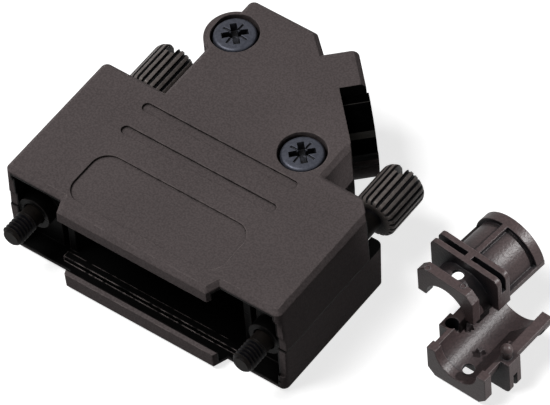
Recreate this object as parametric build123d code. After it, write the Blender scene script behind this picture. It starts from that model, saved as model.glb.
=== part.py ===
from build123d import *
import os
from math import cos, radians, sin, tan

os.makedirs("parts", exist_ok=True)

# A die-cast hood for a 15-way D-sub connector, with its cable leaving at 45 degrees.
# X runs along the connector, Y from the connector face to the cable end, Z up.
# Lengths are millimetres. While a piece is built, Y is counted from the front face.

# The two shells
hood_width = 40.0
shoulder_depth = 19.9
hood_length = 37.15
upper_height = 7.4
lower_height = 7.4
skin = 1.1
wall = 1.2
draft = 2.0
edge_bevel = 0.6
corner_round = 1.0
lip_round = 0.3
neck_left_step = 8.75
neck_right_step = 7.64
base_point_back = 10.0

# The connector end
screw_inset = 3.34
lip_inset = 9.1
lip_reach = 1.8
lip_slant = 0.7
lip_thickness = 0.9
upper_lip_height = 2.1
lower_lip_height = 2.8
flange_rebate = 0.3
flange_seat_wall = 0.6
flange_rib_setback = 1.0
flange_rib_thickness = 0.9
flange_rib_rise = 0.8
flange_rib_inset = 7.0
side_notch_depth = 0.8
side_notch_height = 2.4

# The cable exit
exit_angle = 45.0
exit_inset = 11.73
exit_setback = 3.56
exit_reach = 3.4
exit_bore = 4.9
exit_wall = 1.25
exit_shoulder_back = 0.7
back_corner_cut = 2.4
ear_inner_edge = 0.1
ear_round = 1.2
near_wall_rise = 1.7
near_wall_thickness = 0.5
clamp_rib_thickness = 0.5

# The pocket and cradles of each thumbscrew
channel_wall_inset = 7.6
channel_wall = 1.0
cradle_setback = 2.8
cradle_thickness = 1.0
cradle_width = 4.8
screw_seat_radius = 2.2
screw_seat_reach = 1.9
stop_wall_setback = 8.0
running_clearance = 0.08
seam_clearance = 0.05

# The two cover screws and their bosses
rear_screw_inset, rear_screw_setback = 10.6, 5.85
side_screw_inset, side_screw_back = 12.1, 1.15
boss_bulge = 3.75
boss_radius = 2.9
head_recess_radius = 3.0
head_recess_depth = 2.3
head_cup_wall = 0.8
head_radius = 2.65
head_height = 2.25
head_edge = 0.3
cover_thread_radius = 1.45
cover_hole_clearance = 0.1
cover_screw_length = 8.6
driver_cross_length = 3.1
driver_cross_width = 0.75
driver_cross_depth = 1.1
driver_cross_turn = 45.0
driver_mark_width = 0.28
driver_mark_depth = 0.25

# The shallow panels in the top face
panel_depth = 0.3
panel_centre_x = -0.7
label_centre_y = 4.65
label_inset = 9.1
label_width = 7.9
label_round = 2.3
slot_inset = 8.9
slot_width = 1.3
slot_centres_y = (12.4, 16.5)

# The thumbscrews
thread_radius = 1.42
thread_reach = 3.6
thread_gap = 0.5
shank_radius = 1.3
tip_chamfer = 0.4
knob_gap = 2.3
knob_radius = 2.95
knob_length = 6.9
knob_round = 0.7
flute_count = 16
flute_width = 0.4
flute_sink = 0.1
flute_turn = 45.0
driver_slot_width = 0.9
driver_slot_depth = 1.3
clip_setback = 5.7
clip_thickness = 0.5
clip_radius = 2.0
clip_groove_radius = 1.05
clip_mouth = 1.7
clip_end_play = 0.05

# The two cable clamp halves, with Y from the arch plate to the collar
arch_width = 8.4
arch_depth = 4.6
arch_thickness = 1.2
arch_corner = 1.0
arch_opening = 3.0
trough_length = 2.2
trough_radius = 3.9
trough_depth = 3.7
flange_width = 10.2
flange_depth = 5.1
flange_thickness = 0.7
flange_slot = 0.7
flange_round = 0.8
flange_web = 0.9
barrel_length = 5.2
barrel_radius = 4.15
clamp_bore = 3.3
keel_thickness = 0.7
collar_radius = 4.7
collar_length = 1.3
peg_offset = 4.0
peg_radius = 0.6
peg_ball = 0.75
peg_length = 1.2
peg_socket_radius = 0.8
peg_socket_depth = 2.1
peg_block_depth = 2.5
floor_hole_radius = 0.75
tooth_height = 0.9
tooth_base = 1.1
tooth_taper = 25.0
tooth_lean = 0.35
lower_clamp_gap, lower_clamp_y = 15.9, 11.5
lower_clamp_turn = -3.0
upper_clamp_shift_x, upper_clamp_shift_y = -5.75, 6.2
upper_clamp_turn = -6.0

hood_height = lower_height + upper_height
parting = lower_height
half_width = hood_width / 2
screw_x = half_width - screw_inset
neck_left = half_width - neck_left_step
neck_right = half_width - neck_right_step
lip_half = half_width - lip_inset
flange_rib_half = half_width - flange_rib_inset
channel_wall_x = half_width - channel_wall_inset
exit_x = half_width - exit_inset
exit_y = hood_length - exit_setback
rear_screw_x = rear_screw_inset - half_width
rear_screw_y = hood_length - rear_screw_setback
side_screw_x = half_width - side_screw_inset
side_screw_y = shoulder_depth + side_screw_back
label_length = hood_width - 2 * label_inset
slot_length = hood_width - 2 * slot_inset
lower_clamp_x = half_width + lower_clamp_gap
screw_bore = thread_radius + running_clearance
exit_outer = exit_bore + exit_wall
clamp_length = (arch_thickness + trough_length + 2 * flange_thickness + flange_slot
                + barrel_length + collar_length)
flange_start = arch_thickness + trough_length
flange_end = flange_start + 2 * flange_thickness + flange_slot
reach = 4 * hood_length
near = 0.01


def along_exit(out, across):
    """The plan point that lies so far out of the exit face and across its axis."""
    c = cos(radians(exit_angle))
    s = sin(radians(exit_angle))
    return (exit_x + out * c + across * s, exit_y + out * s - across * c)


def exit_plane(out):
    """A plane square to the cable exit, its X across the axis and its Y down."""
    x, y = along_exit(out, 0)
    across = (sin(radians(exit_angle)), -cos(radians(exit_angle)), 0)
    outward = (cos(radians(exit_angle)), sin(radians(exit_angle)), 0)
    return Plane(origin=(x, y, parting), x_dir=across, z_dir=outward)


def block(x, y, z):
    """A box between two limits on each axis."""
    size = Box(x[1] - x[0], y[1] - y[0], z[1] - z[0])
    return Pos((x[0] + x[1]) / 2, (y[0] + y[1]) / 2, (z[0] + z[1]) / 2) * size


def lying_rod(radius, x, y, z):
    """A round bar along Y between two limits."""
    bar = Rot(90, 0, 0) * Cylinder(radius, y[1] - y[0])
    return Pos(x, (y[0] + y[1]) / 2, z) * bar


def upright(radius, x, y, z):
    """A round post between two heights."""
    return Pos(x, y, (z[0] + z[1]) / 2) * Cylinder(radius, z[1] - z[0])


def diagonal_corner():
    """Where the diagonal face of the exit meets the right wall of the neck."""
    start_x, start_y = along_exit(-exit_reach, 0)
    across = (neck_right - start_x) / sin(radians(exit_angle))
    return (neck_right, start_y - across * cos(radians(exit_angle)))


def body_outline(with_lip):
    """The plan of both shells at the parting plane, without the exit's collar."""
    shoulder = [(-half_width, 0), (-half_width, shoulder_depth), (-neck_left, shoulder_depth)]
    back_step = along_exit(-exit_reach - exit_shoulder_back, -exit_outer)
    neck = [
        (-neck_left, hood_length),
        (back_step[0] - back_corner_cut, hood_length),
        back_step,
        along_exit(-exit_reach, -exit_outer),
        diagonal_corner(),
        (neck_right, shoulder_depth),
    ]
    front = [(half_width, shoulder_depth), (half_width, 0)]
    lip = [
        (lip_half + lip_slant, 0),
        (lip_half, -lip_reach),
        (-lip_half, -lip_reach),
        (-lip_half - lip_slant, 0),
    ]
    points = shoulder + neck + front + (lip if with_lip else [])
    return make_face(Polyline(points, close=True))


def rounded_plan():
    """The outline with its outer corners and the boss that bulges from the neck."""
    plan = body_outline(True)
    corners = [v for v in plan.vertices() if is_outer_corner(v)]
    plan = fillet(corners, corner_round)
    tips = [v for v in plan.vertices() if is_lip_corner(v)]
    plan = fillet(tips, lip_round)
    return plan + Pos(rear_screw_x, rear_screw_y) * Circle(boss_bulge)


def is_outer_corner(vertex):
    """True at the corners of the hood that a hand meets."""
    at_side = abs(abs(vertex.X) - half_width) < near
    at_back = abs(vertex.Y - hood_length) < near
    return at_side or at_back


def is_lip_corner(vertex):
    """True at the two front corners of the lip."""
    return abs(vertex.Y + lip_reach) < near


def ear_plan():
    """The plan over the cable exit, before the notch leaves only its far half."""
    root = -exit_reach - exit_shoulder_back
    corner_x = diagonal_corner()[0] - along_exit(-exit_reach, 0)[0]
    across = corner_x / sin(radians(exit_angle))
    points = [
        along_exit(root, -exit_outer),
        along_exit(0, -exit_outer),
        along_exit(0, across),
        along_exit(root, across),
    ]
    ear = make_face(Polyline(points, close=True))
    outer = ear.vertices().sort_by_distance((*along_exit(0, -exit_outer), 0))[0]
    return fillet(outer, ear_round)


def exit_notch():
    """The square-edged notch in the upper shell over the near half of the exit."""
    side = Pos(reach / 2 - ear_inner_edge, 0) * Rectangle(reach, 2 * reach)
    above = block((-reach, reach), (-reach, reach), (parting - skin, reach))
    return extrude(exit_plane(-exit_reach) * side, amount=reach) & above


def cast_block(plan, height, up):
    """A drafted block that grows from the parting plane, with a bevelled rim."""
    shoulder = height - edge_bevel
    lean = shoulder * tan(radians(draft))
    middle = Pos(0, 0, shoulder) * offset(plan, -lean, kind=Kind.INTERSECTION)
    crown = Pos(0, 0, height) * offset(plan, -lean - edge_bevel, kind=Kind.INTERSECTION)
    solid = loft([plan.face(), middle.face()], ruled=True)
    solid += loft([middle.face(), crown.face()], ruled=True)
    if not up:
        solid = solid.mirror(Plane.XY)
    return Pos(0, 0, parting) * solid


def wiring_space():
    """Everything that both shells leave empty between their walls."""
    inner = offset(body_outline(False), -wall, kind=Kind.INTERSECTION)
    low, high = skin, hood_height - skin
    space = Pos(0, 0, low) * extrude(inner, amount=high - low)
    sides = (-half_width + wall, half_width - wall)
    space += block(sides, (-lip_reach + lip_thickness, wall), (low, high))
    mouth = (lower_lip_height, hood_height - upper_lip_height)
    return space + block((-half_width, half_width), (-2 * lip_reach, wall / 2), mouth)


def flange_seat():
    """The shallow rebate that takes the ends of the connector's flange."""
    sides = (-half_width + flange_seat_wall, half_width - flange_seat_wall)
    deep = (-lip_reach + lip_thickness, flange_rebate)
    high = (skin + flange_seat_wall, hood_height - skin - flange_seat_wall)
    return block(sides, deep, high)


def thumbscrew_webs(side):
    """Channel wall, front cradle and stop wall beside one thumbscrew."""
    full = (skin / 2, hood_height - skin / 2)
    outer = half_width - wall / 2
    inner = channel_wall_x
    channel = block(ordered(side * inner, side * (inner + channel_wall)),
                    (cradle_setback, shoulder_depth - wall / 2), full)
    seat = lying_rod(screw_seat_radius, side * screw_x,
                     (cradle_setback - screw_seat_reach, cradle_setback + wall / 2), parting)
    cradle = block((side * screw_x - cradle_width / 2, side * screw_x + cradle_width / 2),
                   (cradle_setback, cradle_setback + cradle_thickness), full)
    stop = block(ordered(side * inner, side * outer),
                 (stop_wall_setback, stop_wall_setback + cradle_thickness), full)
    return channel + cradle + stop + seat


def ordered(a, b):
    """Two limits with the smaller first."""
    return (min(a, b), max(a, b))


def flange_ribs():
    """The rib in each shell that backs the connector's flange."""
    run = (-flange_rib_half, flange_rib_half)
    deep = (flange_rib_setback, flange_rib_setback + flange_rib_thickness)
    low = block(run, deep, (skin / 2, skin + flange_rib_rise))
    high = block(run, deep, (hood_height - skin - flange_rib_rise, hood_height - skin / 2))
    return low + high


def clamp_rib():
    """The thin rib that the clamp's pair of plates slides over."""
    slot_middle = flange_start + flange_thickness + flange_slot / 2
    out = slot_middle - clamp_length
    middle = (lower_height - upper_height) / 2
    plate = Pos(0, middle) * Rectangle(2 * exit_outer, hood_height - skin)
    plate -= Circle(barrel_radius + running_clearance)
    plate -= Rectangle(flange_web + 2 * running_clearance, hood_height)
    return extrude(exit_plane(out - clamp_rib_thickness / 2) * plate,
                   amount=clamp_rib_thickness)


def inner_works():
    """Ribs, webs and bosses that stand in the wiring space."""
    full = (skin / 2, hood_height - skin / 2)
    works = thumbscrew_webs(-1) + thumbscrew_webs(1) + flange_ribs() + clamp_rib()
    for x, y in ((rear_screw_x, rear_screw_y), (side_screw_x, side_screw_y)):
        works += upright(boss_radius, x, y, full)
        cup_floor = hood_height - head_recess_depth - head_cup_wall
        works += upright(head_recess_radius + head_cup_wall, x, y, (cup_floor, full[1]))
    return works


def round_cuts():
    """The thumbscrew bores and the bore of the cable exit."""
    through = (-lip_reach, shoulder_depth + wall)
    bores = lying_rod(screw_bore, -screw_x, through, parting)
    bores += lying_rod(screw_bore, screw_x, through, parting)
    inside = exit_reach + wall + exit_shoulder_back
    cable = extrude(exit_plane(-inside) * Circle(exit_bore), amount=inside + exit_wall)
    return bores + cable


def panels():
    """The shallow label panel and the two slots in the top face."""
    plan = Pos(panel_centre_x, label_centre_y) * RectangleRounded(label_length, label_width,
                                                                  label_round)
    for y in slot_centres_y:
        plan += Pos(panel_centre_x, y) * SlotOverall(slot_length, slot_width)
    return Pos(0, 0, hood_height - panel_depth) * extrude(plan, amount=2 * panel_depth)


def head_recess(x, y):
    """The counterbore and clearance hole for one cover screw."""
    floor = hood_height - head_recess_depth
    hole = upright(cover_thread_radius + cover_hole_clearance, x, y, (parting - skin, floor + skin))
    return hole + upright(head_recess_radius, x, y, (floor, hood_height + skin))


def upper_shell():
    """The cover that shows in front, with the panels, recesses and far ear."""
    shell = cast_block(rounded_plan() + ear_plan(), upper_height, True) - exit_notch()
    shell = shell - wiring_space() - flange_seat()
    above = block((-reach, reach), (-reach, reach), (parting, reach))
    shell += inner_works() & above
    shell = shell - round_cuts() - panels() - side_notches()
    shell -= head_recess(rear_screw_x, rear_screw_y)
    return shell - head_recess(side_screw_x, side_screw_y)


def side_notches():
    """The small notches in the front edges of the side walls."""
    deep = (-lip_reach, side_notch_depth)
    high = (parting - skin, parting + side_notch_height)
    inner = half_width - 2 * wall
    cut = block((inner, half_width + wall), deep, high)
    return cut + block((-half_width - wall, -inner), deep, high)


def exit_tube():
    """The half tube of the cable exit, its near wall raised past the parting plane."""
    length = exit_reach + wall / 2
    start = exit_plane(-length)
    tube = extrude(start * (Circle(exit_outer)), amount=length)
    lower = block((-reach, reach), (-reach, reach), (0, parting))
    half = Pos(exit_outer, 0) * Rectangle(2 * exit_outer, 2 * near_wall_rise)
    clear = exit_plane(-exit_reach + seam_clearance)
    skirt = (half & Circle(exit_outer)) - Circle(exit_outer - near_wall_thickness)
    raised = extrude(clear * skirt, amount=exit_reach - seam_clearance)
    return (tube & lower) + raised


def screw_sinking(x, y):
    """The tapped hole of one cover screw, with room below its tip."""
    tip = hood_height - head_recess_depth - cover_screw_length
    low = tip - cover_thread_radius
    return upright(cover_thread_radius + seam_clearance, x, y, (low, parting + skin))


def lower_shell():
    """The base, with the tapped bosses and the half tube of the exit."""
    shell = cast_block(rounded_plan(), lower_height, False)
    shell = shell - wiring_space() - flange_seat()
    below = block((-reach, reach), (-reach, reach), (0, parting))
    shell += inner_works() & below
    shell += exit_tube()
    shell -= round_cuts()
    shell -= screw_sinking(rear_screw_x, rear_screw_y)
    return shell - screw_sinking(side_screw_x, side_screw_y)


def cover_screw(x, y):
    """A pan-head cover screw with a cross recess and its four star marks."""
    seat = hood_height - head_recess_depth
    crown = seat + head_height
    head = chamfer(Cylinder(head_radius, head_height).faces().sort_by(Axis.Z)[-1].edges(),
                   head_edge)
    screw = Pos(x, y, seat + head_height / 2) * head
    shank = upright(cover_thread_radius, x, y, (seat - cover_screw_length, seat + head_height / 2))
    tip = shank.faces().sort_by(Axis.Z)[0].edges()
    screw += chamfer(tip, tip_chamfer)
    for turn in (0, 90):
        blade = Box(driver_cross_length, driver_cross_width, 2 * driver_cross_depth)
        mark = Box(driver_cross_length, driver_mark_width, 2 * driver_mark_depth)
        screw -= Pos(x, y, crown) * Rot(0, 0, turn + driver_cross_turn) * blade
        screw -= Pos(x, y, crown) * Rot(0, 0, turn) * mark
    return screw


def thumbscrew(side):
    """One knurled thumbscrew: threaded rod, clip groove, fluted knob and driver slot."""
    front = -thread_reach
    knob_start = shoulder_depth + knob_gap
    knob_end = knob_start + knob_length
    thread = lying_rod(thread_radius, 0, (front, -thread_gap), 0)
    thread = chamfer(thread.faces().sort_by(Axis.Y)[0].edges(), tip_chamfer)
    rod = thread + lying_rod(shank_radius, 0, (-thread_gap, knob_start + knob_round), 0)
    knob = lying_rod(knob_radius, 0, (knob_start, knob_end), 0)
    rims = knob.faces().sort_by(Axis.Y)
    knob = chamfer(rims[0].edges() + rims[-1].edges(), knob_round)
    flute = Rot(0, flute_turn, 0) * Box(flute_width, knob_length + knob_round, flute_width)
    flute = Pos(0, (knob_start + knob_end) / 2, 0) * flute
    for turn in range(flute_count):
        angle = 360 / flute_count * (turn + 0.5)
        knob -= Rot(0, angle, 0) * Pos(knob_radius + flute_sink, 0, 0) * flute
    slot = (knob_end - driver_slot_depth, knob_end + knob_round)
    knob -= block((-driver_slot_width / 2, driver_slot_width / 2), slot,
                  (-knob_radius, knob_radius))
    clip_at = (clip_setback - clip_end_play, clip_setback + clip_thickness + clip_end_play)
    groove = lying_rod(2 * thread_radius, 0, clip_at, 0)
    groove -= lying_rod(clip_groove_radius, 0, clip_at, 0)
    return Pos(side * screw_x, 0, parting) * (rod + knob - groove)


def clip(side):
    """The snap-on clip that keeps one thumbscrew in the hood."""
    deep = (clip_setback, clip_setback + clip_thickness)
    ring = lying_rod(clip_radius, 0, deep, 0)
    ring -= lying_rod(clip_groove_radius + running_clearance, 0, deep, 0)
    ring -= block((-clip_mouth / 2, clip_mouth / 2), deep, (0, 2 * clip_radius))
    return Pos(side * screw_x, 0, parting) * ring


def arch_plate():
    """The arched plate at the cable end of a clamp half."""
    plate = block((-arch_width / 2, arch_width / 2), (0, arch_thickness), (-arch_depth, 0))
    lower = plate.edges().filter_by(Axis.Y).sort_by(Axis.Z)[:2]
    return chamfer(lower, arch_corner)


def flange_plate(start):
    """One of the two square plates that lock the clamp in the hood."""
    plate = block((-flange_width / 2, flange_width / 2), (start, start + flange_thickness),
                  (-flange_depth, 0))
    lower = plate.edges().filter_by(Axis.Y).sort_by(Axis.Z)[:2]
    return fillet(lower, flange_round)


def clamp_solid():
    """The outside of a clamp half before its bore is cut."""
    below = block((-reach, reach), (-reach, reach), (-reach, 0))
    trough = lying_rod(trough_radius, 0, (0, flange_end), 0)
    trough &= block((-reach, reach), (-reach, reach), (-trough_depth, 0))
    barrel = lying_rod(barrel_radius, 0, (flange_start, clamp_length), 0) & below
    collar_start = clamp_length - collar_length
    collar = lying_rod(collar_radius, 0, (collar_start, clamp_length), 0) & below
    body = arch_plate() + trough + barrel + collar
    body += flange_plate(flange_start) + flange_plate(flange_end - flange_thickness)
    body += block((-flange_web / 2, flange_web / 2), (flange_start, flange_end),
                  (-flange_depth, -clamp_bore))
    run = (flange_end - flange_thickness, clamp_length)
    keel = block((-keel_thickness / 2, keel_thickness / 2), run, (-collar_radius, -clamp_bore))
    rails = block((-collar_radius, collar_radius), run, (-keel_thickness, 0))
    blocks = block((-flange_width / 2, flange_width / 2), (flange_start, flange_end),
                   (-peg_block_depth, 0))
    return body + (keel & collar_hull(run)) + rails + blocks


def collar_hull(run):
    """The round that the keel stays inside."""
    return lying_rod(collar_radius, 0, run, 0)


def tooth(side):
    """A small spike on the bore's wall that bites the cable."""
    y = flange_end + tooth_base
    root = Plane(origin=(side * clamp_bore, y, -tooth_base), z_dir=(-side, 0, tooth_lean))
    spike = extrude(root * Rectangle(tooth_base, tooth_base), amount=tooth_height, taper=tooth_taper)
    back = extrude(root * Rectangle(tooth_base, tooth_base), amount=-keel_thickness / 2)
    return spike + back


def clamp_half():
    """One of two like clamp halves, its mating face up, with one peg and one socket."""
    half = clamp_solid()
    half -= lying_rod(clamp_bore, 0, (arch_thickness, 2 * clamp_length), 0)
    half -= lying_rod(arch_opening, 0, (-arch_thickness, arch_thickness), 0)
    middle = (flange_start + flange_end) / 2
    half -= upright(floor_hole_radius, 0, arch_thickness + trough_length / 2, (-2 * arch_depth, 0))
    half -= upright(peg_socket_radius, -peg_offset, middle, (-peg_socket_depth, peg_length))
    peg = upright(peg_radius, peg_offset, middle, (-peg_radius, peg_length))
    peg += Pos(peg_offset, middle, peg_length) * Sphere(peg_ball)
    return half + peg + tooth(-1) + tooth(1)


def placed(shape):
    """The piece in the hood's frame, whose origin lies on the base."""
    return Pos(0, -base_point_back, 0) * shape


pieces = {
    "upper_shell": upper_shell(),
    "lower_shell": lower_shell(),
    "cover_screw_rear": cover_screw(rear_screw_x, rear_screw_y),
    "cover_screw_side": cover_screw(side_screw_x, side_screw_y),
    "thumbscrew_left": thumbscrew(-1),
    "thumbscrew_right": thumbscrew(1),
    "screw_clip_left": clip(-1),
    "screw_clip_right": clip(1),
    "clamp_half_lower": Pos(lower_clamp_x, lower_clamp_y, flange_depth)
    * Rot(0, 0, lower_clamp_turn) * clamp_half(),
    "clamp_half_upper": Pos(lower_clamp_x + upper_clamp_shift_x,
                            lower_clamp_y + upper_clamp_shift_y, flange_depth)
    * Rot(0, 0, upper_clamp_turn) * Rot(0, 180, 0) * clamp_half(),
}
for name, piece in pieces.items():
    export_step(placed(piece), f"parts/{name}.step")
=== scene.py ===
"""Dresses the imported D-sub hood: finishes, turned screws, light, floor and camera."""

from __future__ import annotations

import logging
import math
from dataclasses import dataclass, field
from enum import Enum

import bmesh
import bpy
from mathutils import Matrix, Vector


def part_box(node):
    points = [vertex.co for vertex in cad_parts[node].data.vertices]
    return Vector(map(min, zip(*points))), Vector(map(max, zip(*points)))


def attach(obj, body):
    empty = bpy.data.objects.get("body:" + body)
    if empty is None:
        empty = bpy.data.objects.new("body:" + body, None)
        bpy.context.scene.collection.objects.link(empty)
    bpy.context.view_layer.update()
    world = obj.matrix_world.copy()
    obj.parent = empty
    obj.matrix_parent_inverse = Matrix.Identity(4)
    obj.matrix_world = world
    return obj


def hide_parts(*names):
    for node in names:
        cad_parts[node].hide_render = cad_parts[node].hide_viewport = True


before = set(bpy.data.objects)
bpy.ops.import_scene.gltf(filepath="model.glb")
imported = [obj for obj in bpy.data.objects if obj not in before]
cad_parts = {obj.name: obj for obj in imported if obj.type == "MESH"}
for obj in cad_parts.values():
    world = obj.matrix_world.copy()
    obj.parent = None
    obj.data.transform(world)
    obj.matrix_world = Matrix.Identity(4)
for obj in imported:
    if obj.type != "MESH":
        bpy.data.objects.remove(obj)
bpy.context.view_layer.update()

MM = 0.001
TINY = 1e-9
PHOTO_WIDTH = 550
EXIT_CENTRE = (8.27 * MM, 23.59 * MM, 7.4 * MM)
EXIT_WAY = (math.cos(math.radians(45.0)), math.sin(math.radians(45.0)))

Colour = tuple[float, float, float, float]
Place = tuple[float, float, float]
Socket = bpy.types.NodeSocket

log = logging.getLogger("hood")


def tint(red: int, green: int, blue: int) -> Colour:
    """Turns a colour as it reads on screen into the linear one that a shader takes.

    Args:
        red: red, 0 to 255.
        green: green, 0 to 255.
        blue: blue, 0 to 255.

    Returns:
        The linear colour with full alpha.
    """
    linear = []
    for part in (red, green, blue):
        c = part / 255
        linear.append(c / 12.92 if c <= 0.04045 else ((c + 0.055) / 1.055) ** 2.4)
    return (linear[0], linear[1], linear[2], 1.0)


class Sheet:
    """A node tree that is being drawn: places nodes and joins their sockets."""

    def __init__(self, tree: bpy.types.NodeTree) -> None:
        """Starts on an empty tree.

        Args:
            tree: the tree to fill.
        """
        self.tree = tree
        tree.nodes.clear()

    def add(self, kind: str, inputs: dict | None = None, **settings: object) -> bpy.types.Node:
        """Places one node.

        Args:
            kind: the node's type name.
            inputs: a value or a socket to join for each input, by name or number.
            settings: the node's own settings.

        Returns:
            The new node.
        """
        node = self.tree.nodes.new(kind)
        for name, value in settings.items():
            setattr(node, name, value)
        for key, value in (inputs or {}).items():
            self.feed(node, key, value)
        return node

    def feed(self, node: bpy.types.Node, key: str | int, value: object) -> None:
        """Sets one input of a node, or joins a socket to it.

        Args:
            node: the node.
            key: the input's name or number.
            value: a value or a socket.
        """
        if isinstance(value, Socket):
            self.tree.links.new(value, node.inputs[key])
        else:
            node.inputs[key].default_value = value

    def parts(self, vector: Socket) -> bpy.types.NodeOutputs:
        """The three parts of a vector."""
        return self.add("ShaderNodeSeparateXYZ", {0: vector}).outputs

    def point(self) -> bpy.types.NodeOutputs:
        """The three coordinates of each point of a mesh."""
        return self.parts(self.add("GeometryNodeInputPosition").outputs[0])

    def vector(self, x: object = 0.0, y: object = 0.0, z: object = 0.0) -> Socket:
        """One vector from three numbers or sockets."""
        return self.add("ShaderNodeCombineXYZ", {0: x, 1: y, 2: z}).outputs[0]

    def radius(self, a: Socket, b: Socket) -> Socket:
        """How far a point lies from an axis, from its two distances across it."""
        return self.math("SQRT", self.math("ADD", self.math("MULTIPLY", a, a),
                                           self.math("MULTIPLY", b, b)))

    def seen(self) -> Socket:
        """The mask of the rays that show a background: camera, glossy and transmission."""
        path = self.add("ShaderNodeLightPath").outputs
        shown = self.math("MAXIMUM", path["Is Camera Ray"], path["Is Glossy Ray"])
        return self.math("MAXIMUM", shown, path["Is Transmission Ray"])

    def math(self, operation: str, *values: object) -> Socket:
        """Places a Math node.

        Args:
            operation: the sum to do.
            values: numbers or sockets.

        Returns:
            The result's socket.
        """
        node = self.add("ShaderNodeMath", dict(enumerate(values)), operation=operation)
        return node.outputs[0]

    def remap(self, value: object, low: object, high: object, to_low: float = 0.0,
              to_high: float = 1.0, smooth: bool = True) -> Socket:
        """Maps a value from one range to another, clamped.

        Args:
            value: the number or socket to map.
            low: where the range starts.
            high: where it ends.
            to_low: the result at its start.
            to_high: the result at its end.
            smooth: eased ends instead of a straight ramp.

        Returns:
            The mapped value's socket.
        """
        node = self.add("ShaderNodeMapRange", {"Value": value, "From Min": low, "From Max": high,
                                               "To Min": to_low, "To Max": to_high},
                        interpolation_type="SMOOTHSTEP" if smooth else "LINEAR")
        return node.outputs["Result"]

    def blend(self, factor: object, first: object, second: object) -> Socket:
        """Mixes two colours.

        Args:
            factor: how much of the second shows.
            first: the colour below.
            second: the colour above.

        Returns:
            The mixed colour's socket.
        """
        node = self.add("ShaderNodeMix", {0: factor, 6: first, 7: second}, data_type="RGBA")
        return node.outputs[2]


class Effect(Enum):
    """The shared shader groups."""

    GRAIN = "cast_grain"
    EDGE = "rubbed_edge_and_painted_highlight"
    TONE = "tone_drift"
    HOLLOW = "hollow_shade"


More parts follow.
